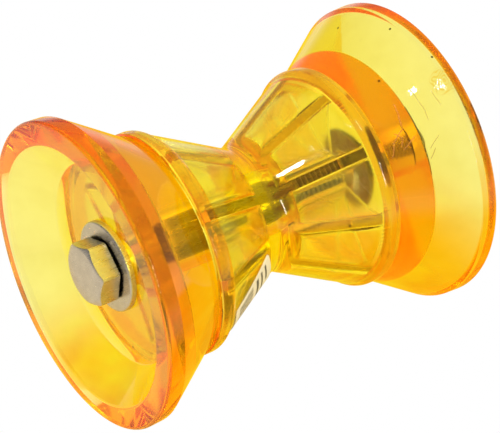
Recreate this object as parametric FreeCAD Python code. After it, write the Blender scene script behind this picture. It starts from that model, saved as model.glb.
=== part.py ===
# Bow roller assembly for a boat trailer, in clear amber plastic.
# A ribbed hourglass roller and two end bells turn on one hex bolt.
# Millimetres, +Z along the bolt from the head to the nut.
# The assembly stands on the rim of the head side bell, whose face is the plane z = 0.

import FreeCAD, Part
import math
import os

from FreeCAD import Vector

# End bell: one moulding, used twice, mouth outwards
bell_diameter = 102.0
bell_depth = 28.0
rim_band_length = 5.9
rim_band_draft = 0.3
rim_edge_radius = 1.2
band_edge_radius = 0.6
mouth_diameter = 86.6
mouth_edge_radius = 1.5
bowl_depth = 12.0
floor_diameter = 67.0
floor_edge_radius = 0.8
hub_face_diameter = 72.0
hub_edge_radius = 0.8

# Centre roller: two ribbed cones back to back on a solid waist
roller_length = 69.0
ring_diameter = 74.8
ring_length = 4.2
ring_front_radius = 0.9
ring_back_radius = 2.6
cone_end_diameter = 71.6
waist_diameter = 41.2
waist_radius = 7.0
web_thickness = 14.0
wall_thickness = 3.0
core_tube_diameter = 19.6
core_tube_draft = 0.6
pocket_corner_radius = 1.6
rib_count = 9
rib_thickness = 3.0
rib_tube_recess = 0.6
rib_wall_recess = 4.0
rib_angle = 25.5

# Half inch hex bolt, nut and washers
bolt_diameter = 12.7
bolt_end_reach = 2.95
bolt_end_chamfer = 1.2
across_flats = 19.05
head_height = 7.9
chamfer_angle = 30.0
chamfer_inset = 0.48
bearing_face_height = 0.45
bearing_face_diameter = 18.2
head_turn = 51.2
nut_height = 11.1
nut_lead_in = 0.8
nut_turn = 4.0
washer_diameter = 30.0
washer_thickness = 2.3
washer_edge_radius = 0.5

# Rectangular paper label, wrapped on the cone next to the head side bell
label_thickness = 0.2
label_length = 22.6
label_chord = 40.6
label_inset = 4.0
label_angle = -2.0

# Clearances
bore_clearance = 0.1
side_gap = 0.3
washer_gap = 0.2
washer_clearance = 0.4
nut_clearance = 0.05
cut_margin = 1.0

# Levels along the bolt
head_hub_face = bell_depth
roller_start = head_hub_face + side_gap
roller_end = roller_start + roller_length
nut_hub_face = roller_end + side_gap
top_rim_face = nut_hub_face + bell_depth
waist_level = (roller_start + roller_end) / 2
head_washer_start = bowl_depth - washer_gap - washer_thickness
nut_washer_start = top_rim_face - bowl_depth + washer_gap
nut_start = nut_washer_start + washer_thickness
bolt_end = nut_start + nut_height + bolt_end_reach
bore_radius = bolt_diameter / 2 + bore_clearance

# Slope of the roller's cones, from the waist to the shoulder behind the ring
shoulder_level = roller_length / 2 - ring_length - (ring_diameter - cone_end_diameter) / 2
cone_slope = (cone_end_diameter - waist_diameter) / 2 / shoulder_level
cone_lean = math.atan(cone_slope)

# Hexagon of the head and the nut, and how far its chamfer comes down at a corner
hexagon_corner = across_flats / math.sqrt(3)
chamfer_circle = across_flats / 2 - chamfer_inset
corner_drop = (hexagon_corner - chamfer_circle) * math.tan(math.radians(chamfer_angle))


def corner_arc(before, corner, after, radius):
    """The arc that rounds a corner, and its two ends on the sides."""
    to_before = (before - corner).normalize()
    to_after = (after - corner).normalize()
    half = to_before.getAngle(to_after) / 2
    reach = radius / math.tan(half)
    start = corner + to_before * reach
    end = corner + to_after * reach
    middle = (to_before + to_after).normalize()
    centre = corner + middle * (radius / math.sin(half))
    return start, centre - middle * radius, end


def turned(outline):
    """Solid of revolution about Z. The outline is a closed list of (radius, level, corner rounding)."""
    corners = [Vector(radius, 0, level) for radius, level, rounding in outline]
    roundings = [rounding for radius, level, rounding in outline]
    edges = []
    ends = []
    for place, corner in enumerate(corners):
        before = corners[place - 1]
        after = corners[(place + 1) % len(corners)]
        if roundings[place] > 0:
            start, middle, end = corner_arc(before, corner, after, roundings[place])
            ends.append((start, end))
            edges.append(Part.Arc(start, middle, end).toShape())
        else:
            ends.append((corner, corner))
    for place, (start, end) in enumerate(ends):
        next_start = ends[(place + 1) % len(ends)][0]
        if end.distanceToPoint(next_start) > 1e-6:
            edges.append(Part.LineSegment(end, next_start).toShape())
    face = Part.Face(Part.Wire(Part.__sortEdges__(edges)))
    return face.revolve(Vector(0, 0, 0), Vector(0, 0, 1), 360)


def bell():
    """An end bell with its mouth at z = 0 and its hub face at z = bell_depth."""
    rim = bell_diameter / 2
    return turned([
        (bore_radius, bowl_depth, 0),
        (floor_diameter / 2, bowl_depth, floor_edge_radius),
        (mouth_diameter / 2, 0, mouth_edge_radius),
        (rim, 0, rim_edge_radius),
        (rim - rim_band_draft, rim_band_length, band_edge_radius),
        (hub_face_diameter / 2, bell_depth, hub_edge_radius),
        (bore_radius, bell_depth, 0),
    ])


def nut_side_bell():
    """The same bell turned over, with its mouth at the top."""
    solid = bell()
    solid = solid.mirror(Vector(0, 0, 0), Vector(0, 0, 1))
    solid.translate(Vector(0, 0, top_rim_face))
    return solid


def cone_radius(distance):
    """Radius of the cone's outside at a distance along the axis from the waist."""
    return waist_diameter / 2 + cone_slope * distance


def pocket_ring():
    """The hollow in the upper cone, as a full ring, measured from the waist."""
    wall = wall_thickness / math.cos(cone_lean)
    mouth = cone_end_diameter / 2 - wall
    floor_level = web_thickness / 2
    top = roller_length / 2 + cut_margin
    tube = core_tube_diameter / 2
    draft = core_tube_draft / (roller_length / 2 - floor_level)
    return turned([
        (tube, floor_level, pocket_corner_radius),
        (cone_radius(floor_level) - wall, floor_level, pocket_corner_radius),
        (mouth, shoulder_level, 0),
        (mouth, top, 0),
        (tube - draft * (top - floor_level), top, 0),
    ])


def ribs():
    """Flat ribs whose free edges slope down from the core tube to the wall."""
    half = roller_length / 2
    tube = core_tube_diameter / 2 - core_tube_draft
    wall = cone_end_diameter / 2
    outline = Part.makePolygon([
        Vector(0, -rib_thickness / 2, 0),
        Vector(wall, -rib_thickness / 2, 0),
        Vector(wall, -rib_thickness / 2, half - rib_wall_recess),
        Vector(tube, -rib_thickness / 2, half - rib_tube_recess),
        Vector(0, -rib_thickness / 2, half - rib_tube_recess),
        Vector(0, -rib_thickness / 2, 0),
    ])
    plates = []
    for place in range(rib_count):
        plate = Part.Face(outline).extrude(Vector(0, rib_thickness, 0))
        plate.rotate(Vector(0, 0, 0), Vector(0, 0, 1), rib_angle + place * 360 / rib_count)
        plates.append(plate)
    return plates


def centre_roller():
    half = roller_length / 2
    ring = ring_diameter / 2
    ring_back = half - ring_length
    cone_end = cone_end_diameter / 2
    body = turned([
        (bore_radius, -half, 0),
        (ring, -half, ring_front_radius),
        (ring, -ring_back, ring_back_radius),
        (cone_end, -shoulder_level, 0),
        (waist_diameter / 2, 0, waist_radius),
        (cone_end, shoulder_level, 0),
        (ring, ring_back, ring_back_radius),
        (ring, half, ring_front_radius),
        (bore_radius, half, 0),
    ])
    hollow = pocket_ring().cut(ribs())
    mirrored = hollow.mirror(Vector(0, 0, 0), Vector(0, 0, 1))
    body = body.cut([hollow, mirrored])
    body.translate(Vector(0, 0, waist_level))
    return body


def hexagon(level, height, turn):
    """A plain hexagonal prism."""
    points = []
    for place in range(6):
        angle = math.radians(turn + place * 60)
        points.append(Vector(hexagon_corner * math.cos(angle), hexagon_corner * math.sin(angle), level))
    points.append(points[0])
    return Part.Face(Part.makePolygon(points)).extrude(Vector(0, 0, height))


def hex_bolt():
    """Bolt with a chamfered head and a round bearing face under it."""
    top = head_washer_start - head_height
    prism = hexagon(top, head_height - bearing_face_height, head_turn)
    envelope = turned([
        (0, top, 0),
        (chamfer_circle, top, 0),
        (hexagon_corner, top + corner_drop, 0),
        (hexagon_corner + cut_margin, top + corner_drop, 0),
        (hexagon_corner + cut_margin, head_washer_start, 0),
        (0, head_washer_start, 0),
    ])
    head = prism.common(envelope)
    radius = bolt_diameter / 2
    shank = turned([
        (0, head_washer_start - bearing_face_height, 0),
        (bearing_face_diameter / 2, head_washer_start - bearing_face_height, 0),
        (bearing_face_diameter / 2, head_washer_start, 0),
        (radius, head_washer_start, 0),
        (radius, bolt_end - bolt_end_chamfer, 0),
        (radius - bolt_end_chamfer, bolt_end, 0),
        (0, bolt_end, 0),
    ])
    return head.fuse(shank).removeSplitter()


def hex_nut():
    """Full height nut, chamfered on both faces."""
    start = nut_start
    end = nut_start + nut_height
    bore = bolt_diameter / 2 + nut_clearance
    envelope = turned([
        (bore + nut_lead_in, start, 0),
        (chamfer_circle, start, 0),
        (hexagon_corner, start + corner_drop, 0),
        (hexagon_corner + cut_margin, start + corner_drop, 0),
        (hexagon_corner + cut_margin, end - corner_drop, 0),
        (hexagon_corner, end - corner_drop, 0),
        (chamfer_circle, end, 0),
        (bore + nut_lead_in, end, 0),
        (bore, end - nut_lead_in, 0),
        (bore, start + nut_lead_in, 0),
    ])
    return hexagon(start, nut_height, nut_turn).common(envelope)


def washer(start):
    """Flat washer with a stamped, slightly rounded edge."""
    end = start + washer_thickness
    hole = bolt_diameter / 2 + washer_clearance
    return turned([
        (hole, start, 0),
        (washer_diameter / 2, start, washer_edge_radius),
        (washer_diameter / 2, end, washer_edge_radius),
        (hole, end, 0),
    ])


def label():
    """Paper label on the outside of the lower cone, cut square to its middle line.

    Its sheet follows the roller's waist, so that a longer label bends with it.
    """
    thickness = label_thickness / math.cos(cone_lean)
    cone_end = cone_end_diameter / 2
    waist = waist_diameter / 2
    skin = turned([
        (cone_end, -shoulder_level, 0),
        (waist, 0, waist_radius),
        (cone_end, shoulder_level, 0),
        (cone_end + thickness, shoulder_level, 0),
        (waist + thickness, 0, waist_radius - label_thickness),
        (cone_end + thickness, -shoulder_level, 0),
    ])
    depth = label_chord / 2
    sheet = Part.makeBox(depth, label_chord, label_length)
    sheet.translate(Vector(label_thickness + cut_margin - depth, -label_chord / 2, label_inset))
    sheet.rotate(Vector(0, 0, 0), Vector(0, 1, 0), -math.degrees(cone_lean))
    sheet.translate(Vector(cone_end, 0, -shoulder_level))
    patch = skin.common(sheet)
    patch.rotate(Vector(0, 0, 0), Vector(0, 0, 1), label_angle)
    patch.translate(Vector(0, 0, waist_level))
    return patch


parts = {
    "centre_roller": centre_roller(),
    "head_side_bell": bell(),
    "nut_side_bell": nut_side_bell(),
    "hex_bolt": hex_bolt(),
    "hex_nut": hex_nut(),
    "head_washer": washer(head_washer_start),
    "nut_washer": washer(nut_washer_start),
    "label": label(),
}

os.makedirs("parts", exist_ok=True)
for name, shape in parts.items():
    shape.exportStep("parts/" + name + ".step")
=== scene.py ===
"""Looks of the boat trailer roller: clear amber mouldings on a plated hex bolt.

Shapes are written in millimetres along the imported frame's +Z and scaled to metres as meshes are made.
"""

import math

import bmesh
import bpy
from mathutils import Matrix, Vector


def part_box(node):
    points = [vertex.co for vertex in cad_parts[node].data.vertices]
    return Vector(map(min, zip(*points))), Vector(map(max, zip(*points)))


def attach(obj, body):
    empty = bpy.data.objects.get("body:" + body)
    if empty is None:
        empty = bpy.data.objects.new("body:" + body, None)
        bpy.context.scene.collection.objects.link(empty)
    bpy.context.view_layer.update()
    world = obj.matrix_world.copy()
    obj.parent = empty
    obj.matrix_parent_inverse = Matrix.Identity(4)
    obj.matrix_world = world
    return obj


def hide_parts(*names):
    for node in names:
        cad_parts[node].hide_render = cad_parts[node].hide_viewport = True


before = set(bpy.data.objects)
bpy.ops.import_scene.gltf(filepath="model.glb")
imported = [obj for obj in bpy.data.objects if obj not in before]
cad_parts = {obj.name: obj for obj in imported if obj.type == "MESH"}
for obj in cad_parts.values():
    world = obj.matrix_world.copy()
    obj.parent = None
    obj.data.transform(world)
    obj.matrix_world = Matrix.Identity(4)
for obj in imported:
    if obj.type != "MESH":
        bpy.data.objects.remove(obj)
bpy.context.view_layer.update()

MM = 0.001


def span(node):
    """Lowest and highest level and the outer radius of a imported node, in millimetres."""
    low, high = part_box(node)
    return low.z / MM, high.z / MM, high.x / MM


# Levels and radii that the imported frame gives
rim_level, head_hub_face, rim_radius = span("head_side_bell")
nut_hub_face, top_rim_level, _ = span("nut_side_bell")
roller_start, roller_end, ring_radius = span("centre_roller")
head_top, bolt_end, _ = span("hex_bolt")
head_washer_low, head_washer_high, washer_radius = span("head_washer")
nut_washer_low, nut_washer_high, _ = span("nut_washer")
nut_low, nut_high, _ = span("hex_nut")
waist_level = (roller_start + roller_end) / 2
bell_depth = head_hub_face - rim_level
roller_half = (roller_end - roller_start) / 2

# End bell
bowl_depth = 12.0
rim_band_length = 5.9
rim_band_draft = 0.3
mouth_radius = 43.3
floor_radius = 33.5
hub_radius = 36.0
bore_radius = 6.45

# Centre roller
ring_length = 4.2
cone_end_radius = 35.8
waist_radius = 20.6
web_thickness = 14.0
wall_thickness = 3.0
tube_radius = 9.8
tube_draft = 0.6
rib_count = 9
rib_thickness = 3.0
rib_tube_recess = 0.6
rib_wall_recess = 4.0
rib_angle = 25.5

# Half inch hardware
bolt_radius = 6.35
thread_pitch = 1.954
thread_depth = 1.1
thread_start = 77.0
across_flats = 19.05
head_turn = 51.2
nut_turn = 4.0
chamfer_radius = 9.05
bearing_radius = 9.1
washer_hole_radius = 6.75

# Label
label_length = 22.6
label_chord = 40.6
label_inset = 4.0
label_angle = -2.0
label_lift = 0.03
label_top = 0.19

# Print on the label: a length along the cone and the rows across it, in millimetres of the flat plan
printed_bars = [
    ((6.5, 15.0), [(-18.8, -18.4), (-17.9, -17.1), (-16.7, -16.3), (-15.8, -15.0), (-14.6, -14.2), (-13.7, -13.3),
                   (-12.8, -11.9), (-11.4, -11.1), (-10.6, -10.2), (-9.5, -8.7), (-8.3, -8.0), (-7.4, -6.6)]),
    ((17.2, 18.6), [(-18.8, -4.5)]),
    ((20.2, 21.2), [(-18.8, -9.0)]),
    ((22.8, 23.8), [(-18.8, -12.0)]),
    ((6.5, 9.0), [(0.5, 17.5)]),
    ((11.4, 12.6), [(0.5, 18.5)]),
    ((14.6, 15.6), [(0.5, 13.0)]),
    ((17.6, 18.6), [(0.5, 15.5)]),
]

# Marks in the plastic: dark grains, scratches from one place to another, and flow marks, whose fine loops have a
# place, a reach and a spacing
speck_radius = 0.42
scratch_width = 0.26
roller_specks = [(17.12, -25.46, 81.84)]
head_bell_specks = [(26.54, 8.88, 12.0)]
nut_bell_specks = [
    (-42.74, 7.11, 108.67),
    (-43.78, -13.87, 112.59),
    (-36.25, -33.88, 118.17),
    (-21.93, -35.32, 106.02),
    (-22.57, -45.42, 121.34),
]
nut_bell_scratches = [
    ((-16.4, -41.9, 111.2), (-11.0, -43.9, 111.5)),
    ((-11.4, -43.8, 111.5), (-7.2, -44.8, 111.8)),
    ((-7.8, -44.6, 111.8), (-4.4, -44.9, 111.4)),
    ((-12.8, -46.2, 115.6), (-7.2, -47.7, 116.0)),
    ((0.7, -45.9, 112.5), (4.3, -43.4, 109.1)),
    ((4.3, -44.5, 110.7), (7.3, -42.4, 108.3)),
    ((-13.6, -38.9, 105.5), (-5.2, -40.1, 104.4)),
    ((-5.5, -40.1, 104.8), (-1.6, -37.9, 100.2)),
    ((-2.2, -38.0, 100.9), (2.6, -36.7, 98.8)),
    ((-1.7, -42.0, 106.8), (1.7, -39.0, 102.2)),
    ((-4.6, -38.5, 101.8), (-2.1, -39.6, 103.4)),
    ((-2.4, -39.5, 103.3), (0.5, -39.0, 102.1)),
]
nut_bell_flow = [((-14.1, -48.5, 120.0), 5.4, 0.95)]

# Camera, fitted to the photograph's rims, ring, washer and head
camera_place = (2.4, -647.7, -278.6)
camera_pitch = 27.84
camera_roll = 67.8
camera_lens = 163.7
sensor_width = 36.0

LATHE_STEPS = 240
ARC_STEP = 9.0


# Shapes

def rounded(outline):
    """Points of a closed outline of (radius, level, corner rounding), with its corners as arcs."""
    points = []
    for place, (x, y, rounding) in enumerate(outline):
        corner = Vector((x, y))
        if rounding == 0:
            points.append(corner)
            continue
        before = (Vector(outline[place - 1][:2]) - corner).normalized()
        after = (Vector(outline[(place + 1) % len(outline)][:2]) - corner).normalized()
        half = before.angle(after) / 2
        centre = corner + (before + after).normalized() * (rounding / math.sin(half))
        start = corner + before * (rounding / math.tan(half)) - centre
        end = corner + after * (rounding / math.tan(half)) - centre
        turn = math.degrees(start.angle(end))
        steps = max(2, round(turn / ARC_STEP))
        sense = 1 if start.x * end.y - start.y * end.x > 0 else -1
        for step in range(steps + 1):
            angle = sense * math.radians(turn * step / steps)
            swing = Matrix.Rotation(angle, 2)
            points.append(centre + swing @ start)
    return points


def piece(name, mesh_data, body, material, stands_for=()):
    """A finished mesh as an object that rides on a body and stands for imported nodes."""
    mesh_data.transform(Matrix.Scale(MM, 4))
    obj = bpy.data.objects.new(name, mesh_data)
    bpy.context.scene.collection.objects.link(obj)
    mesh_data.materials.clear()
    mesh_data.materials.append(material)
    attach(obj, body)
    if stands_for:
        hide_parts(*stands_for)
    return obj


def smooth(mesh_data, angle=28.0):
    """Smooth shading, broken at edges sharper than the angle."""
    mesh_data.shade_smooth()
    mesh_data.set_sharp_from_angle(angle=math.radians(angle))


def mark(mesh_data, name, is_marked):
    """Marks faces with an attribute that the amber material reads: a duller surface, or the rings' deeper tint."""
    values = [1.0 if is_marked(face.center) else 0.0 for face in mesh_data.polygons]
    mesh_data.attributes.new(name, "FLOAT", "FACE").data.foreach_set("value", values)


def lathe(name, points, steps=LATHE_STEPS, closed=True):
    """Mesh of an outline of (radius, level) points turned about the axis."""
    mesh = bmesh.new()
    rings = []
    for x, y in points:
        if x < 1e-6:
            rings.append([mesh.verts.new((0, 0, y))] * steps)
            continue
        rings.append([
            mesh.verts.new((x * math.cos(2 * math.pi * k / steps), x * math.sin(2 * math.pi * k / steps), y))
            for k in range(steps)
        ])
    last = len(rings) if closed else len(rings) - 1
    for place in range(last):
        one = rings[place]
        two = rings[(place + 1) % len(rings)]
        for k in range(steps):
            corners = [one[k], one[(k + 1) % steps], two[(k + 1) % steps], two[k]]
            corners = list(dict.fromkeys(corners))
            if len(corners) > 2:
                mesh.faces.new(corners)
    bmesh.ops.recalc_face_normals(mesh, faces=mesh.faces)
    data = bpy.data.meshes.new(name)
    mesh.to_mesh(data)
    mesh.free()
    return data


def cut(target, cutters):
    """Takes the cutters' meshes out of the target mesh and returns what is left."""
    holder = bpy.data.objects.new("target", target)
    bpy.context.scene.collection.objects.link(holder)
    tools = []
    for cutter in cutters:
        tool = bpy.data.objects.new("tool", cutter)
        bpy.context.scene.collection.objects.link(tool)
        tools.append(tool)
        modifier = holder.modifiers.new("cut", "BOOLEAN")
        modifier.operation = "DIFFERENCE"
        modifier.solver = "MANIFOLD"
        modifier.object = tool
    bpy.context.view_layer.update()
    graph = bpy.context.evaluated_depsgraph_get()
    result = bpy.data.meshes.new_from_object(holder.evaluated_get(graph))
    for obj in tools + [holder]:
        bpy.data.objects.remove(obj)
    return result


def bell_mesh(name):
    """A cup with a conical bowl, a solid hub and a short cylindrical band at the rim, mouth at level 0."""
    return lathe(name, rounded([
        (bore_radius, bowl_depth, 0.5),
        (floor_radius, bowl_depth, 0.8),
        (mouth_radius, 0, 1.5),
        (rim_radius, 0, 1.2),
        (rim_radius - rim_band_draft, rim_band_length, 0.6),
        (hub_radius, bell_depth, 0.8),
        (bore_radius, bell_depth, 0.4),
    ]))


def cone_radius(distance):
    """Radius of the roller's cone at a distance from the waist."""
    return waist_radius + cone_slope * distance


shoulder_level = roller_half - ring_length - (ring_radius - cone_end_radius)
cone_slope = (cone_end_radius - waist_radius) / shoulder_level
cone_lean = math.atan(cone_slope)


def pocket_outline(inner, outer, rounding, corner_steps=5, side_steps=6, arc_steps=12):
    """Points of a pocket's section, between two ribs, the tube and the wall, with rounded corners."""
    half_sector = math.pi / rib_count
    side = rib_thickness / 2
    points = []

    def corner(radius, sign, first, last):
        """An arc about the centre of a corner. Angles are from the direction outwards at the rib's middle."""
        lean = math.asin((side + rounding) / radius)
        at_angle = sign * (half_sector - lean)
        centre = Vector((math.cos(at_angle), math.sin(at_angle))) * radius
        for step in range(corner_steps + 1):
            turn = first + (last - first) * step / corner_steps
            points.append(centre + Vector((math.cos(turn), math.sin(turn))) * rounding)
        return at_angle

    far = outer - rounding
    near = inner + rounding
    far_lean = half_sector - math.asin((side + rounding) / far)
    near_lean = half_sector - math.asin((side + rounding) / near)
    square = math.pi / 2
    corner(far, 1, half_sector + square, far_lean)
    for step in range(1, arc_steps):
        turn = far_lean - 2 * far_lean * step / arc_steps
        points.append(Vector((math.cos(turn), math.sin(turn))) * outer)
    corner(far, -1, -far_lean, -half_sector - square)
    start = points[-1].copy()
    mark = len(points)
    corner(near, -1, -half_sector - square, -near_lean - math.pi)
    end = points[mark].copy()
    sides = [start.lerp(end, step / side_steps) for step in range(1, side_steps)]
    points[mark:mark] = sides
    for step in range(1, arc_steps // 2):
        turn = -near_lean + 2 * near_lean * step / (arc_steps // 2)
        points.append(Vector((math.cos(turn), math.sin(turn))) * inner)
    corner(near, 1, near_lean + math.pi, half_sector + square)
    start = points[-1].copy()
    end = points[0].copy()
    points.extend(start.lerp(end, step / side_steps) for step in range(1, side_steps))
    return points


def pocket_mesh(turn, upper):
    """Closed solid of one pocket, from its rounded floor to past the roller's end face."""
    floor = web_thickness / 2
    top = roller_half + 1.0
    wall = wall_thickness / math.cos(cone_lean)
    corner = 1.5
    levels = []
    for step in range(6):
        angle = math.radians(90 * step / 5)
        levels.append((floor + corner * (1 - math.cos(angle)), corner * (1 - math.sin(angle))))
    for level in (floor + 4, floor + 8, floor + 13, shoulder_level, top):
        levels.append((level, 0.0))
    mesh = bmesh.new()
    rings = []
    for level, inset in levels:
        draft = tube_draft * (level - floor) / (roller_half - floor)
        outer = min(cone_radius(level), cone_end_radius) - wall - inset
        inner = tube_radius - draft + inset
        outline = pocket_outline(inner, outer, 1.4 - 0.5 * inset)
        rings.append([mesh.verts.new((point.x, point.y, level)) for point in outline])
    count = len(rings[0])
    for one, two in zip(rings, rings[1:]):
        for k in range(count):
            mesh.faces.new((one[k], one[(k + 1) % count], two[(k + 1) % count], two[k]))
    mesh.faces.new(rings[0])
    mesh.faces.new(rings[-1])
    bmesh.ops.recalc_face_normals(mesh, faces=mesh.faces)
    data = bpy.data.meshes.new("pocket")
    mesh.to_mesh(data)
    mesh.free()
    data.transform(Matrix.Rotation(math.radians(turn), 4, "Z"))
    if not upper:
        data.transform(Matrix.Scale(-1, 4, (0, 0, 1)))
        data.flip_normals()
    return data


def mouth_mesh(upper):
    """The ring over the ribs' free edges, which slope down from the tube to the wall."""
    wall = wall_thickness / math.cos(cone_lean)
    top = roller_half + 2.0
    tube = tube_radius - tube_draft
    data = lathe("mouth", rounded([
        (tube, roller_half - rib_tube_recess, 0),
        (cone_end_radius - wall, roller_half - rib_wall_recess, 0),
        (cone_end_radius - wall, top, 0),
        (tube, top, 0),
    ]))
    if not upper:
        data.transform(Matrix.Scale(-1, 4, (0, 0, 1)))
        data.flip_normals()
    return data


def roller_mesh():
    """The hourglass roller with its ribbed hollows, about the waist."""
    ring_back = roller_half - ring_length
    body = lathe("centre_roller_body", rounded([
        (bore_radius, -roller_half, 0.5),
        (ring_radius, -roller_half, 0.9),
        (ring_radius, -ring_back, 2.6),
        (cone_end_radius, -shoulder_level, 2.0),
        (waist_radius, 0, 7.0),
        (cone_end_radius, shoulder_level, 2.0),
        (ring_radius, ring_back, 2.6),
        (ring_radius, roller_half, 0.9),
        (bore_radius, roller_half, 0.5),
    ]))
    step = 360 / rib_count
    cutters = [mouth_mesh(True), mouth_mesh(False)]
    for upper in (True, False):
        for k in range(rib_count):
            cutters.append(pocket_mesh(rib_angle + (k + 0.5) * step, upper))
    return cut(body, cutters)


def hexagon_radius(angle, turn):
    """Distance from the axis to a hexagon's side, in a direction given in radians."""
    local = (angle - math.radians(turn)) % (math.pi / 3) - math.pi / 6
    return across_flats / 2 / math.cos(local)


def hexed(turn, shrink):
    """A hexagon's outline with its corners a little rounded off, as a radius for each direction."""
    return lambda angle: min(hexagon_radius(angle, turn), across_flats / math.sqrt(3) - 0.22) - shrink


def chamfer_drop(turn, angle):
    """How far the turned chamfer has come down from the face at the hexagon's outline."""
    return max((hexed(turn, 0)(angle) - chamfer_radius) * math.tan(math.radians(30)), 0)


class Rings:
    """Rings of points about the axis, joined into a mesh one after the other."""

    def __init__(self, steps):
        self.mesh = bmesh.new()
        self.angles = [2 * math.pi * k / steps for k in range(steps)]
        self.rings = []

    def add(self, level, radius):
        """Adds a ring whose level and radius are each a number or a function of the direction."""
        ring = []
        for angle in self.angles:
            r = radius(angle) if callable(radius) else radius
            z = level(angle) if callable(level) else level
            ring.append(self.mesh.verts.new((r * math.cos(angle), r * math.sin(angle), z)))
        self.rings.append(ring)

    def finish(self, name, closed):
        """Joins the rings and returns the mesh. If it isn't closed, its first and last rings are capped."""
        count = len(self.angles)
        pairs = list(zip(self.rings, self.rings[1:]))
        if closed:
            pairs.append((self.rings[-1], self.rings[0]))
        for one, two in pairs:
            for k in range(count):
                self.mesh.faces.new((one[k], one[(k + 1) % count], two[(k + 1) % count], two[k]))
        if not closed:
            self.mesh.faces.new(self.rings[0])
            self.mesh.faces.new(self.rings[-1])
        bmesh.ops.remove_doubles(self.mesh, verts=self.mesh.verts, dist=1e-4)
        bmesh.ops.dissolve_degenerate(self.mesh, edges=self.mesh.edges, dist=1e-4)
        bmesh.ops.recalc_face_normals(self.mesh, faces=self.mesh.faces)
        data = bpy.data.meshes.new(name)
        self.mesh.to_mesh(data)
        self.mesh.free()
        return data


def bolt_mesh():
    """Hex head with a chamfered top, plain shank and rolled thread, as one closed mesh."""
    bolt = Rings(96)
    head_height = head_washer_low - head_top

    def chamfer(below):
        return lambda angle: head_top + chamfer_drop(head_turn, angle) + below

    bolt.add(head_top, 0.01)
    bolt.add(head_top, chamfer_radius * 0.5)
    bolt.add(head_top, chamfer_radius - 0.35)
    bolt.add(head_top + 0.08, chamfer_radius)
    bolt.add(chamfer(0.0), hexed(head_turn, 0.12))
    bolt.add(chamfer(0.18), hexed(head_turn, 0.0))
    bolt.add(head_top + head_height * 0.55, hexed(head_turn, 0.0))
    bolt.add(head_washer_low - 0.77, hexed(head_turn, 0.0))
    bolt.add(head_washer_low - 0.62, hexed(head_turn, 0.16))
    bolt.add(head_washer_low - 0.60, bearing_radius)
    bolt.add(head_washer_low, bearing_radius)
    bolt.add(head_washer_low, bolt_radius + 0.3)
    bolt.add(head_washer_low + 0.3, bolt_radius)
    bolt.add(thread_start - 1.0, bolt_radius)

    profile = [(0.0, 1.0), (0.12, 1.0), (0.44, 0.0), (0.56, 0.0), (0.88, 1.0)]
    turns = int((bolt_end - thread_start) / thread_pitch) + 1
    for turn in range(turns):
        for share, height in profile:
            level = thread_start + (turn + share) * thread_pitch

            def lifted(angle, level=level):
                return min(level + angle / (2 * math.pi) * thread_pitch, bolt_end)

            def radius(angle, level=level, height=height):
                here = level + angle / (2 * math.pi) * thread_pitch
                fade = min(1.0, max(0.0, (here - thread_start) / (2 * thread_pitch)))
                tip = max(0.0, here - (bolt_end - 1.4))
                return min(bolt_radius - thread_depth * fade * (1 - height), bolt_radius - tip * 0.85)

            bolt.add(lifted, radius)
    bolt.add(bolt_end, bolt_radius - 1.4)
    bolt.add(bolt_end, 0.01)
    return bolt.finish("bolt", False)


def nut_mesh():
    """Hex nut with both faces chamfered and a countersunk bore."""
    nut = Rings(96)
    bore = bolt_radius + 0.05
    edge = hexed(nut_turn, 0.0)
    nut.add(nut_low + 0.8, bore)
    nut.add(nut_low + 0.06, bore + 0.74)
    nut.add(nut_low, bore + 0.85)
    nut.add(nut_low, chamfer_radius - 0.3)
    nut.add(nut_low + 0.07, chamfer_radius)
    nut.add(lambda angle: nut_low + chamfer_drop(nut_turn, angle), hexed(nut_turn, 0.12))
    nut.add(lambda angle: nut_low + chamfer_drop(nut_turn, angle) + 0.18, edge)
    nut.add((nut_low + nut_high) / 2, edge)
    nut.add(lambda angle: nut_high - chamfer_drop(nut_turn, angle) - 0.18, edge)
    nut.add(lambda angle: nut_high - chamfer_drop(nut_turn, angle), hexed(nut_turn, 0.12))
    nut.add(nut_high - 0.07, chamfer_radius)
    nut.add(nut_high, chamfer_radius - 0.3)
    nut.add(nut_high, bore + 0.85)
    nut.add(nut_high - 0.06, bore + 0.74)
    nut.add(nut_high - 0.8, bore)
    nut.add((nut_low + nut_high) / 2, bore)
    return nut.finish("nut", True)


def washer_mesh(name, low, high):
    """Stamped flat washer: rolled over at one edge, sheared at the other."""
    return lathe(name, rounded([
        (washer_hole_radius, low, 0.25),
        (washer_radius, low, 0.7),
        (washer_radius, high, 0.4),
        (washer_hole_radius, high, 0.3),
    ]), steps=144)


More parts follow.
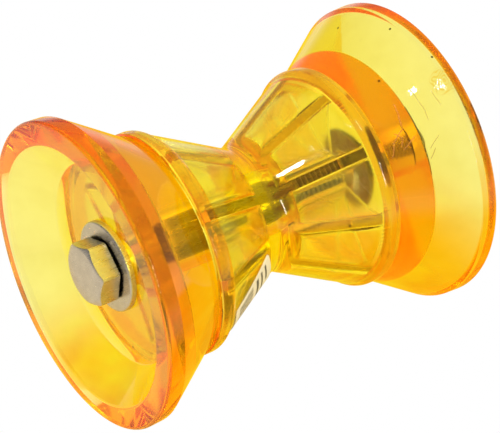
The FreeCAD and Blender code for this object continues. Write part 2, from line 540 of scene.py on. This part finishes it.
def label_mesh():
    """The paper label on the lower cone, its sides square to its middle line, with its plan in millimetres as UVs."""
    lean = Matrix.Rotation(-cone_lean, 3, "Y")
    foot = Vector((cone_end_radius, 0, -shoulder_level))
    steps_along, steps_across = 24, 48
    mesh = bmesh.new()
    plan = mesh.loops.layers.uv.new("plan")

    def on_cone(along, across, lift):
        """The point over a place on the flat plan, raised from the cone."""
        out = 0.0
        for _ in range(12):
            point = foot + lean @ Vector((out, across, along))
            surface = cone_radius(abs(point.z)) + lift / math.cos(cone_lean)
            out += (surface - math.hypot(point.x, point.y)) * 0.8
        return foot + lean @ Vector((out, across, along))

    def place(i, k):
        """A grid place on the plan. The corners are rounded and the sides aren't cut quite straight."""
        u = i / steps_along
        v = 2 * k / steps_across - 1
        inset = 0.5 * max(0.0, abs(v) - 0.96) / 0.04 * abs(2 * u - 1) ** 12
        wave = 0.05 * math.sin(9 * v) * (1 - abs(2 * u - 1))
        along = label_inset + 0.15 + (label_length - 0.3) * u + wave - inset * (2 * u - 1)
        return along, (label_chord / 2 - 0.15) * v

    sides = []
    for lift in (label_lift, label_top):
        sides.append([[mesh.verts.new(on_cone(*place(i, k), lift)) for k in range(steps_across + 1)]
                      for i in range(steps_along + 1)])
    plans = {}
    for side in sides:
        for i, row in enumerate(side):
            for k, vert in enumerate(row):
                plans[vert] = place(i, k)
    under, over = sides
    for i in range(steps_along):
        for k in range(steps_across):
            mesh.faces.new((over[i][k], over[i][k + 1], over[i + 1][k + 1], over[i + 1][k]))
            mesh.faces.new((under[i][k], under[i + 1][k], under[i + 1][k + 1], under[i][k + 1]))
    border = [(i, 0) for i in range(steps_along)]
    border += [(steps_along, k) for k in range(steps_across)]
    border += [(i, steps_across) for i in range(steps_along, 0, -1)]
    border += [(0, k) for k in range(steps_across, 0, -1)]
    for one, two in zip(border, border[1:] + border[:1]):
        mesh.faces.new((under[one[0]][one[1]], under[two[0]][two[1]], over[two[0]][two[1]], over[one[0]][one[1]]))
    bmesh.ops.recalc_face_normals(mesh, faces=mesh.faces)
    for face in mesh.faces:
        for loop in face.loops:
            loop[plan].uv = plans[loop.vert]
    data = bpy.data.meshes.new("label")
    mesh.to_mesh(data)
    mesh.free()
    data.transform(Matrix.Rotation(math.radians(label_angle), 4, "Z"))
    return data


# Materials

def node_tree(name):
    """A new material with its node tree cleared, and the tree's output node."""
    material = bpy.data.materials.new(name)
    material.use_nodes = True
    tree = material.node_tree
    tree.nodes.clear()
    output = tree.nodes.new("ShaderNodeOutputMaterial")
    return material, tree, output


def math_node(tree, operation, *values):
    """A math node's output. Each value is a socket to link or a number to set."""
    node = tree.nodes.new("ShaderNodeMath")
    node.operation = operation
    for place, value in enumerate(values):
        if isinstance(value, (int, float)):
            node.inputs[place].default_value = value
        else:
            tree.links.new(value, node.inputs[place])
    return node.outputs["Value"]


def map_node(tree, value, low, high, at_low, at_high):
    """A value mapped smoothly from one range to another."""
    node = tree.nodes.new("ShaderNodeMapRange")
    node.interpolation_type = "SMOOTHSTEP"
    node.inputs["From Min"].default_value = low
    node.inputs["From Max"].default_value = high
    node.inputs["To Min"].default_value = at_low
    node.inputs["To Max"].default_value = at_high
    tree.links.new(value, node.inputs["Value"])
    return node.outputs["Result"]


def mix_node(tree, factor, one, two):
    """Mixes two colours, each a socket or a plain colour."""
    node = tree.nodes.new("ShaderNodeMix")
    node.data_type = "RGBA"
    sockets = [socket for socket in node.inputs if socket.enabled]
    for socket, value in zip(sockets, (factor, one, two)):
        if hasattr(value, "links"):
            tree.links.new(value, socket)
        else:
            socket.default_value = value
    return next(socket for socket in node.outputs if socket.enabled)


def distance_node(tree, vector, point):
    """Distance of a place from a point given in millimetres."""
    node = tree.nodes.new("ShaderNodeVectorMath")
    node.operation = "DISTANCE"
    node.inputs[1].default_value = Vector(point) * MM
    tree.links.new(vector, node.inputs[0])
    return node.outputs["Value"]


def noise_node(tree, vector, scale, detail):
    node = tree.nodes.new("ShaderNodeTexNoise")
    node.inputs["Scale"].default_value = scale
    node.inputs["Detail"].default_value = detail
    tree.links.new(vector, node.inputs["Vector"])
    return node.outputs["Fac"]


def stretched(tree, vector, scale, rotation):
    """Coordinates turned and then scaled, for grain that runs one way."""
    node = tree.nodes.new("ShaderNodeMapping")
    node.vector_type = "TEXTURE"
    node.inputs["Rotation"].default_value = rotation
    node.inputs["Scale"].default_value = [1 / value for value in scale]
    tree.links.new(vector, node.inputs["Vector"])
    return node.outputs["Vector"]


def amber_material(name, seed, absorption, cloudiness, specks=(), scratches=(), flow_marks=(), ring_tint=None):
    """Clear amber plastic: colour from the depth of plastic that light crosses, with moulding and handling marks."""
    material, tree, output = node_tree(name)
    nodes, links = tree.nodes, tree.links
    shader = nodes.new("ShaderNodeBsdfPrincipled")
    shader.inputs["IOR"].default_value = 1.5
    shader.inputs["Specular IOR Level"].default_value = amber_specular
    shader.inputs["Transmission Weight"].default_value = 1.0
    volume = nodes.new("ShaderNodeVolumeAbsorption")
    volume.inputs["Color"].default_value = (*absorption[0], 1)
    volume.inputs["Density"].default_value = absorption[1]
    place = nodes.new("ShaderNodeTexCoord").outputs["Object"]
    shift = nodes.new("ShaderNodeMapping")
    shift.inputs["Location"].default_value = (seed, seed * 0.37, 0)
    links.new(place, shift.inputs["Vector"])
    moved = shift.outputs["Vector"]
    ripple = noise_node(tree, moved, 55.0, 3.0)
    scuff = noise_node(tree, stretched(tree, moved, (2400, 60, 60), (0.5, 0.2, 0.9)), 1.0, 2.0)
    hairline = map_node(tree, scuff, 0.70, 0.76, 0.0, 1.0)

    marks = 0.0
    for speck in specks:
        grain = math_node(tree, "LESS_THAN", distance_node(tree, place, speck), speck_radius * MM)
        marks = math_node(tree, "MAXIMUM", marks, grain)
    wander = nodes.new("ShaderNodeTexNoise")
    wander.inputs["Scale"].default_value = 250.0
    bent = nodes.new("ShaderNodeVectorMath")
    bent.operation = "MULTIPLY_ADD"
    bent.inputs[1].default_value = (0.8 * MM, 0.8 * MM, 0.8 * MM)
    links.new(place, wander.inputs["Vector"])
    links.new(wander.outputs["Color"], bent.inputs[0])
    links.new(place, bent.inputs[2])
    lines = 0.0
    for start, end in scratches:
        middle = (Vector(start) + Vector(end)) / 2 + Vector((0.4, 0.4, 0.4))
        run = Vector(end) - Vector(start)
        outwards = Vector((middle.x, middle.y, 0))
        sideways = run.cross(outwards).normalized()
        aside = nodes.new("ShaderNodeVectorMath")
        aside.operation = "DOT_PRODUCT"
        aside.inputs[1].default_value = sideways
        links.new(bent.outputs["Vector"], aside.inputs[0])
        on_line = math_node(tree, "COMPARE", aside.outputs["Value"], sideways.dot(middle) * MM, scratch_width / 2 * MM)
        half = run.length / 2 * MM
        away = distance_node(tree, bent.outputs["Vector"], middle)
        taper = map_node(tree, away, 0.6 * half, half + 0.3 * MM, 1.0, 0.0)
        lines = math_node(tree, "MAXIMUM", lines, math_node(tree, "MULTIPLY", on_line, taper))
    flow = 0.0
    for centre, reach, spacing in flow_marks:
        wave = nodes.new("ShaderNodeTexWave")
        wave.wave_type = "RINGS"
        wave.rings_direction = "SPHERICAL"
        wave.inputs["Scale"].default_value = 0.31 / (spacing * MM)
        wave.inputs["Distortion"].default_value = 11.0
        wave.inputs["Detail"].default_value = 0.0
        wave.inputs["Detail Scale"].default_value = 1.2
        offset = nodes.new("ShaderNodeVectorMath")
        offset.operation = "SUBTRACT"
        offset.inputs[1].default_value = Vector(centre) * MM
        links.new(place, offset.inputs[0])
        links.new(offset.outputs["Vector"], wave.inputs["Vector"])
        thin = map_node(tree, wave.outputs["Fac"], 0.55, 0.95, 0.22, 1.0)
        patch = map_node(tree, distance_node(tree, place, centre), 0.6 * reach * MM, reach * MM, 1.0, 0.0)
        flow = math_node(tree, "MAXIMUM", flow, math_node(tree, "MULTIPLY", thin, patch))

    cloud = map_node(tree, noise_node(tree, moved, 75.0, 3.0), 0.42, 0.68, 0.0, cloudiness)
    tint = mix_node(tree, cloud, (1.0, 0.99, 0.95, 1), (0.95, 0.92, 0.80, 1))
    if scratches:
        tint = mix_node(tree, lines, tint, (0.75, 0.55, 0.18, 1))
    if flow_marks:
        tint = mix_node(tree, flow, tint, (0.90, 0.55, 0.05, 1))
    if ring_tint:
        ring = nodes.new("ShaderNodeAttribute")
        ring.attribute_name = "ring"
        tint = mix_node(tree, ring.outputs["Fac"], tint, (*ring_tint, 1))
    if specks:
        tint = mix_node(tree, marks, tint, (0.03, 0.02, 0.01, 1))
    links.new(tint, shader.inputs["Base Color"])

    rough = map_node(tree, ripple, 0.2, 0.8, 0.015, 0.05)
    dull = nodes.new("ShaderNodeAttribute")
    dull.attribute_name = "dull"
    duller = math_node(tree, "MULTIPLY_ADD", dull.outputs["Fac"], 0.12, rough)
    scuffed = math_node(tree, "MULTIPLY_ADD", hairline, 0.2, duller)
    links.new(math_node(tree, "MULTIPLY_ADD", lines, 0.5, scuffed), shader.inputs["Roughness"])
    height = math_node(tree, "MULTIPLY_ADD", flow, -0.05, math_node(tree, "MULTIPLY_ADD", hairline, -0.12, ripple))
    bump = nodes.new("ShaderNodeBump")
    bump.inputs["Strength"].default_value = 0.05
    bump.inputs["Distance"].default_value = 0.001
    links.new(height, bump.inputs["Height"])
    links.new(bump.outputs["Normal"], shader.inputs["Normal"])
    links.new(shader.outputs["BSDF"], output.inputs["Surface"])
    links.new(volume.outputs["Volume"], output.inputs["Volume"])
    return material


def paper_material(name):
    """Cream paper with plain dark bars, its print placed by the label's flat plan."""
    material, tree, output = node_tree(name)
    nodes, links = tree.nodes, tree.links
    shader = nodes.new("ShaderNodeBsdfPrincipled")
    shader.inputs["Roughness"].default_value = 0.55
    plan = nodes.new("ShaderNodeUVMap")
    plan.uv_map = "plan"
    apart = nodes.new("ShaderNodeSeparateXYZ")
    links.new(plan.outputs["UV"], apart.inputs["Vector"])

    def within(axis, low, high):
        return math_node(tree, "COMPARE", apart.outputs[axis], (low + high) / 2, (high - low) / 2)

    ink = 0.0
    for along, across in printed_bars:
        rows = 0.0
        for low, high in across:
            rows = math_node(tree, "MAXIMUM", rows, within("Y", low, high))
        ink = math_node(tree, "MAXIMUM", ink, math_node(tree, "MULTIPLY", rows, within("X", *along)))
    place = nodes.new("ShaderNodeTexCoord").outputs["Object"]
    fibre = noise_node(tree, place, 900.0, 4.0)
    stain_and_shade = noise_node(tree, place, 90.0, 2.0)
    cream = mix_node(tree, stain_and_shade, (0.60, 0.48, 0.24, 1), (0.70, 0.60, 0.38, 1))
    faded = math_node(tree, "MULTIPLY", ink, map_node(tree, fibre, 0.25, 0.5, 0.75, 0.97))
    links.new(mix_node(tree, faded, cream, (0.05, 0.045, 0.04, 1)), shader.inputs["Base Color"])
    bump = nodes.new("ShaderNodeBump")
    bump.inputs["Strength"].default_value = 0.2
    bump.inputs["Distance"].default_value = 0.0002
    links.new(fibre, bump.inputs["Height"])
    links.new(bump.outputs["Normal"], shader.inputs["Normal"])
    links.new(shader.outputs["BSDF"], output.inputs["Surface"])
    return material


def steel_material(name, colour, roughness):
    """Plated steel with fine scratches and small dull patches. It has painted shade, darker away from the open head,
    and a painted dark band of shade where the head meets its washer.
    """
    material, tree, output = node_tree(name)
    nodes, links = tree.nodes, tree.links
    shader = nodes.new("ShaderNodeBsdfPrincipled")
    shader.inputs["Metallic"].default_value = 1.0
    place = nodes.new("ShaderNodeTexCoord")
    stretch = nodes.new("ShaderNodeMapping")
    stretch.inputs["Scale"].default_value = (2600, 260, 260)
    stretch.inputs["Rotation"].default_value = (0.2, 0.3, 0.9)
    scratch = nodes.new("ShaderNodeTexNoise")
    scratch.inputs["Scale"].default_value = 1.0
    scratch.inputs["Detail"].default_value = 4.0
    links.new(place.outputs["Object"], stretch.inputs["Vector"])
    links.new(stretch.outputs["Vector"], scratch.inputs["Vector"])
    patch = nodes.new("ShaderNodeTexNoise")
    patch.inputs["Scale"].default_value = 420.0
    patch.inputs["Detail"].default_value = 5.0
    links.new(place.outputs["Object"], patch.inputs["Vector"])
    tone = nodes.new("ShaderNodeMix")
    tone.data_type = "RGBA"
    tone.inputs["A"].default_value = (*[value * 0.66 for value in colour], 1)
    tone.inputs["B"].default_value = (*colour, 1)
    links.new(patch.outputs["Fac"], tone.inputs["Factor"])
    apart = nodes.new("ShaderNodeSeparateXYZ")
    links.new(place.outputs["Object"], apart.inputs["Vector"])
    # Painted shade: the shank, the far washer and the nut are darkened from just past the head's washer on, less
    # towards the nut's outer face
    inside = map_node(tree, apart.outputs["Z"], head_washer_high * MM, (head_washer_high + 4) * MM, 0.0, 1.0)
    outside = map_node(tree, apart.outputs["Z"], (nut_high - 5) * MM, nut_high * MM, 1.0, 0.45)
    shaded = math_node(tree, "MULTIPLY", inside, outside)
    dark = tuple(value * shade_share for value in colour)
    stain_and_shade = mix_node(tree, shaded, tone.outputs["Result"], (*dark, 1))
    flat = nodes.new("ShaderNodeVectorMath")
    flat.operation = "MULTIPLY"
    flat.inputs[1].default_value = (1, 1, 0)
    links.new(place.outputs["Object"], flat.inputs[0])
    # Painted shade: a dark band within a ragged radius on the head's bearing face and the washer's face, where the two
    # meet
    out = distance_node(tree, flat.outputs["Vector"], (0, 0, 0))
    ragged = math_node(tree, "MULTIPLY_ADD", patch.outputs["Fac"], 0.0012, out)
    around = map_node(tree, ragged, (head_shade_radius - 0.5) * MM, (head_shade_radius + 0.5) * MM, 1.0, 0.0)
    level = apart.outputs["Z"]
    low = map_node(tree, level, (head_washer_low - 0.75) * MM, (head_washer_low - 0.45) * MM, 0.0, 1.0)
    high = map_node(tree, level, (head_washer_low + 0.3) * MM, (head_washer_low + 0.6) * MM, 1.0, 0.0)
    head_shade = math_node(tree, "MULTIPLY", around, math_node(tree, "MULTIPLY", low, high))
    links.new(mix_node(tree, head_shade, stain_and_shade, (0.02, 0.018, 0.014, 1)), shader.inputs["Base Color"])
    rough = nodes.new("ShaderNodeMapRange")
    rough.inputs["To Min"].default_value = roughness - 0.12
    rough.inputs["To Max"].default_value = roughness + 0.16
    links.new(scratch.outputs["Fac"], rough.inputs["Value"])
    links.new(rough.outputs["Result"], shader.inputs["Roughness"])
    bump = nodes.new("ShaderNodeBump")
    bump.inputs["Strength"].default_value = 0.25
    bump.inputs["Distance"].default_value = 0.0002
    links.new(scratch.outputs["Fac"], bump.inputs["Height"])
    links.new(bump.outputs["Normal"], shader.inputs["Normal"])
    links.new(shader.outputs["BSDF"], output.inputs["Surface"])
    return material


# The pieces

amber_specular = 0.15
# How dark the painted shade on the steel is, as a share of its colour
shade_share = 0.33
# Radius of the painted shade band where the head meets its washer
head_shade_radius = 11.2
steel_colour = (0.74, 0.67, 0.57)

roller_amber = ((0.998, 0.955, 0.0), 240.0)
bell_amber = ((0.997, 0.93, 0.0), 150.0)
amber_roller = amber_material("amber_roller", 0.0, roller_amber, 0.35, roller_specks, ring_tint=(1.0, 0.52, 0.16))
amber_head_bell = amber_material("amber_head_bell", 3.1, bell_amber, 1.0, head_bell_specks)
amber_nut_bell = amber_material(
    "amber_nut_bell", 7.7, bell_amber, 1.0, nut_bell_specks, nut_bell_scratches, nut_bell_flow
)
plated = steel_material("plated_steel", steel_colour, 0.28)
paper = paper_material("label_paper")

def bell_is_dull(centre):
    """The bore and the hub's face, against which the roller turns."""
    radius = math.hypot(centre.x, centre.y)
    return radius < bore_radius + 0.6 or centre.z > bell_depth - 0.1


def roller_is_dull(centre):
    """The bore, the end faces and the hollows."""
    radius = math.hypot(centre.x, centre.y)
    skin = min(cone_radius(abs(centre.z)), cone_end_radius) - 0.5 * wall_thickness
    return radius < skin or abs(centre.z) > roller_half - 0.1


def in_ring(centre):
    """The outside of the rings at the roller's ends."""
    return abs(centre.z) > shoulder_level + 0.3 and math.hypot(centre.x, centre.y) > cone_end_radius - 0.3


data = bell_mesh("head_bell_moulding")
mark(data, "dull", bell_is_dull)
data.transform(Matrix.Translation((0, 0, rim_level)))
smooth(data)
piece("head_bell_moulding", data, "head_bell", amber_head_bell, ["head_side_bell"])

data = bell_mesh("nut_bell_moulding")
mark(data, "dull", bell_is_dull)
data.transform(Matrix.Scale(-1, 4, (0, 0, 1)))
data.flip_normals()
data.transform(Matrix.Translation((0, 0, top_rim_level)))
smooth(data)
piece("nut_bell_moulding", data, "nut_bell", amber_nut_bell, ["nut_side_bell"])

data = roller_mesh()
mark(data, "dull", roller_is_dull)
mark(data, "ring", in_ring)
data.transform(Matrix.Translation((0, 0, waist_level)))
smooth(data)
piece("roller_moulding", data, "roller", amber_roller, ["centre_roller"])

data = bolt_mesh()
smooth(data, 24)
piece("threaded_bolt", data, "shaft", plated, ["hex_bolt"])

data = nut_mesh()
smooth(data, 24)
piece("chamfered_nut", data, "shaft", plated, ["hex_nut"])

data = washer_mesh("washer_under_head", head_washer_low, head_washer_high)
smooth(data, 30)
piece("washer_under_head", data, "shaft", plated, ["head_washer"])

data = washer_mesh("washer_under_nut", nut_washer_low, nut_washer_high)
smooth(data, 30)
piece("washer_under_nut", data, "shaft", plated, ["nut_washer"])

data = label_mesh()
data.transform(Matrix.Translation((0, 0, waist_level)))
smooth(data, 50)
piece("paper_label", data, "roller", paper, ["label"])


# Studio

def in_view(right, up, towards):
    """A direction in the frame from its parts along the photograph's right, up and towards the camera."""
    pitch = math.radians(camera_pitch)
    roll = math.radians(camera_roll)
    look = Matrix.Rotation(math.pi / 2 + pitch, 3, "X") @ Matrix.Rotation(roll, 3, "Z")
    return (look @ Vector((right, up, towards))).normalized()


def studio_world():
    """White studio: white on the card's side, with a dimmer room on the other for what gleams."""
    world = bpy.data.worlds.new("studio")
    bpy.context.scene.world = world
    world.use_nodes = True
    nodes, links = world.node_tree.nodes, world.node_tree.links
    nodes.clear()
    output = nodes.new("ShaderNodeOutputWorld")
    background = nodes.new("ShaderNodeBackground")
    background.inputs["Color"].default_value = (1, 1, 1, 1)
    place = nodes.new("ShaderNodeTexCoord")
    path = nodes.new("ShaderNodeLightPath")

    def ramp(direction, low, high, at_low, at_high):
        """A value that changes smoothly as the ray's direction turns towards the given one."""
        dot = nodes.new("ShaderNodeVectorMath")
        dot.operation = "DOT_PRODUCT"
        dot.inputs[1].default_value = direction
        links.new(place.outputs["Generated"], dot.inputs[0])
        span = nodes.new("ShaderNodeMapRange")
        span.interpolation_type = "SMOOTHSTEP"
        span.inputs["From Min"].default_value = low
        span.inputs["From Max"].default_value = high
        span.inputs["To Min"].default_value = at_low
        span.inputs["To Max"].default_value = at_high
        links.new(dot.outputs["Value"], span.inputs["Value"])
        return span.outputs["Result"]

    def mix(kind, factor, one, two):
        """Mixes two values or colours, each a socket or a plain value."""
        node = nodes.new("ShaderNodeMix")
        node.data_type = kind
        for name, value in (("Factor", factor), ("A", one), ("B", two)):
            sockets = [s for s in node.inputs if s.name == name and s.enabled]
            if hasattr(value, "links"):
                links.new(value, sockets[0])
            else:
                sockets[0].default_value = value
        return next(s for s in node.outputs if s.enabled)

    lit = ramp(key_side, room_key[0], room_key[1], room_key[2], room_key[3])
    through = mix("FLOAT", ramp(table_side, -0.6, 0.2, 0.0, 1.0), lit, 1.0)
    gleam = ramp(table_side, -0.05, 0.35, room_gleam, 1.0)
    mirrored = math_node(world.node_tree, "SUBTRACT", path.outputs["Is Reflection Ray"], path.outputs["Is Diffuse Ray"])
    room = mix("FLOAT", mirrored, through, gleam)
    strength = mix("FLOAT", path.outputs["Is Camera Ray"], room, 1.0)
    links.new(strength, background.inputs["Strength"])
    links.new(background.outputs["Background"], output.inputs["Surface"])


def softbox(name, direction, size, watts, level, distance=0.9):
    """A soft rectangular lamp that faces the roller's middle, with its first side nearly along the level direction."""
    lamp = bpy.data.lights.new(name, "AREA")
    lamp.shape = "RECTANGLE"
    lamp.size, lamp.size_y = size
    lamp.energy = watts
    holder = bpy.data.objects.new(name, lamp)
    bpy.context.scene.collection.objects.link(holder)
    middle = Vector((0, 0, waist_level * MM))
    across = (level - level.dot(direction) * direction).normalized()
    turn = Matrix((across, direction.cross(across), direction)).transposed()
    holder.matrix_world = Matrix.Translation(middle + direction * distance) @ turn.to_4x4()
    holder.visible_camera = False


def painted_shadow_card():
    """White card close to one side of the object, with a painted amber shadow and painted golden light where clear
    amber would cast them.
    """
    across = Vector((-table_side.y, table_side.x, 0))
    reach = 400 * MM
    middle = table_side * (rim_radius + 0.6) * MM + Vector((0, 0, waist_level * MM))
    corners = [middle + across * reach * x + Vector((0, 0, reach * z)) for x, z in ((-1, -1), (1, -1), (1, 1), (-1, 1))]
    data = bpy.data.meshes.new("painted_shadow_card")
    data.from_pydata([tuple(corner) for corner in corners], [], [(0, 1, 2, 3)])
    card = bpy.data.objects.new("painted_shadow_card", data)
    bpy.context.scene.collection.objects.link(card)
    card.visible_camera = False
    card.visible_diffuse = False
    card.visible_shadow = False
    material, tree, output = node_tree("painted_shadow_card")
    nodes, links = tree.nodes, tree.links
    data.materials.append(material)
    place = nodes.new("ShaderNodeTexCoord")
    turned = nodes.new("ShaderNodeMapping")
    turned.inputs["Rotation"].default_value = (0, 0, -math.atan2(table_side.y, table_side.x))
    links.new(place.outputs["Object"], turned.inputs["Vector"])
    apart = nodes.new("ShaderNodeSeparateXYZ")
    links.new(turned.outputs["Vector"], apart.inputs["Vector"])

    def near(socket, centre, inner, outer):
        """One at a level or place, falling smoothly to nothing between two distances from it."""
        away = nodes.new("ShaderNodeMath")
        away.operation = "SUBTRACT"
        away.inputs[1].default_value = centre * MM
        links.new(socket, away.inputs[0])
        size = nodes.new("ShaderNodeMath")
        size.operation = "ABSOLUTE"
        links.new(away.outputs["Value"], size.inputs[0])
        fall = nodes.new("ShaderNodeMapRange")
        fall.interpolation_type = "SMOOTHSTEP"
        fall.inputs["From Min"].default_value = inner * MM
        fall.inputs["From Max"].default_value = outer * MM
        fall.inputs["To Min"].default_value = 1.0
        fall.inputs["To Max"].default_value = 0.0
        links.new(size.outputs["Value"], fall.inputs["Value"])
        return fall.outputs["Result"]

    def product(one, two):
        node = nodes.new("ShaderNodeMath")
        node.operation = "MULTIPLY"
        links.new(one, node.inputs[0])
        links.new(two, node.inputs[1])
        return node.outputs["Value"]

    cast_noise = nodes.new("ShaderNodeTexNoise")
    cast_noise.inputs["Scale"].default_value = 45.0
    cast_noise.inputs["Detail"].default_value = 2.0
    links.new(place.outputs["Object"], cast_noise.inputs["Vector"])
    cast_patches = nodes.new("ShaderNodeMapRange")
    cast_patches.inputs["From Min"].default_value = 0.35
    cast_patches.inputs["From Max"].default_value = 0.6
    cast_patches.inputs["To Min"].default_value = 0.0
    cast_patches.inputs["To Max"].default_value = 1.0
    links.new(cast_noise.outputs["Fac"], cast_patches.inputs["Value"])
    # Painted shadow and painted light: the amber shade and golden patches that the object would cast, glowing on the
    # card near its foot, with a dimmer warm face for reflections
    shade = product(near(apart.outputs["Y"], 0, 14, 62), near(apart.outputs["Z"], waist_level + 12, 60, 105))
    wide = product(near(apart.outputs["Y"], 40, 150, 260), near(apart.outputs["Z"], waist_level + 60, 100, 160))
    reflected = nodes.new("ShaderNodeLightPath").outputs["Is Reflection Ray"]
    through = shade
    cast = mix_node(tree, cast_patches.outputs["Result"], (*bright_cast, 1), (*cast_colour, 1))
    plain = mix_node(tree, reflected, (1, 1, 1, 1), (*card_gleam, 1))
    tint = mix_node(tree, math_node(tree, "MAXIMUM", through, product(wide, reflected)), plain, cast)
    glow = nodes.new("ShaderNodeEmission")
    links.new(tint, glow.inputs["Color"])
    links.new(glow.outputs["Emission"], output.inputs["Surface"])


def floor_sheet():
    """Pale floor that keeps the object's shadow. It shows only from above and fades into the white."""
    half = 900 * MM
    level = rim_level * MM - 0.05 * MM
    data = bpy.data.meshes.new("floor")
    data.from_pydata([(-half, -half, level), (half, -half, level), (half, half, level), (-half, half, level)],
                     [], [(0, 1, 2, 3)])
    sheet = bpy.data.objects.new("floor", data)
    bpy.context.scene.collection.objects.link(sheet)
    sheet.visible_diffuse = False
    sheet.visible_glossy = False
    sheet.visible_transmission = False
    sheet.visible_shadow = False
    material, tree, output = node_tree("floor")
    nodes, links = tree.nodes, tree.links
    data.materials.append(material)
    paint = nodes.new("ShaderNodeBsdfDiffuse")
    paint.inputs["Color"].default_value = (0.93, 0.93, 0.93, 1)
    clear = nodes.new("ShaderNodeBsdfTransparent")
    side = nodes.new("ShaderNodeNewGeometry")
    distance = nodes.new("ShaderNodeVectorMath")
    distance.operation = "LENGTH"
    links.new(side.outputs["Position"], distance.inputs[0])
    fade = nodes.new("ShaderNodeMapRange")
    fade.interpolation_type = "SMOOTHSTEP"
    fade.inputs["From Min"].default_value = 0.15
    fade.inputs["From Max"].default_value = 0.55
    links.new(distance.outputs["Value"], fade.inputs["Value"])
    hidden = nodes.new("ShaderNodeMath")
    hidden.operation = "MAXIMUM"
    links.new(fade.outputs["Result"], hidden.inputs[0])
    links.new(side.outputs["Backfacing"], hidden.inputs[1])
    mix = nodes.new("ShaderNodeMixShader")
    links.new(hidden.outputs["Value"], mix.inputs["Fac"])
    links.new(paint.outputs["BSDF"], mix.inputs[1])
    links.new(clear.outputs["BSDF"], mix.inputs[2])
    links.new(mix.outputs["Shader"], output.inputs["Surface"])


table_side = Vector((0.754, 0.657, 0.0))
key_side = in_view(0.3, 0.65, 0.65)
room_key = (-0.3, 0.7, 0.7, 1.8)
room_gleam = 0.2
# Colours of the painted shadow, the painted golden light and the dimmer face seen in reflections on the card
cast_colour = (1.0, 0.56, 0.02)
card_gleam = (0.86, 0.77, 0.60)
bright_cast = (1.0, 0.80, 0.04)

studio_world()
painted_shadow_card()
floor_sheet()
softbox("roller_softbox", in_view(-0.121, 0.465, 0.877), (0.023, 0.07), 0.4, in_view(0.87, 0.49, 0.0))
softbox("bell_softbox", in_view(-0.255, 0.501, 0.827), (0.018, 0.06), 0.27, in_view(0.87, 0.49, 0.0))
softbox("side_softbox", in_view(0.55, -0.1, 0.85), (0.08, 0.4), 2.5, in_view(1.0, 0.0, 0.0))


def make_camera():
    """The photograph's camera. It looks up at the standing roller and is rolled about its line of sight."""
    camera = bpy.data.cameras.new("camera")
    camera.lens = camera_lens
    camera.sensor_width = sensor_width
    camera.clip_start = 0.01
    camera.clip_end = 20
    holder = bpy.data.objects.new("camera", camera)
    bpy.context.scene.collection.objects.link(holder)
    pitch = math.radians(camera_pitch)
    roll = math.radians(camera_roll)
    look = Matrix.Rotation(math.pi / 2 + pitch, 4, "X") @ Matrix.Rotation(roll, 4, "Z")
    holder.matrix_world = Matrix.Translation(Vector(camera_place) * MM) @ look
    bpy.context.scene.camera = holder


make_camera()

scene = bpy.context.scene
scene.view_settings.view_transform = "Standard"
scene.cycles.max_bounces = 32
scene.cycles.transmission_bounces = 32
scene.cycles.glossy_bounces = 16
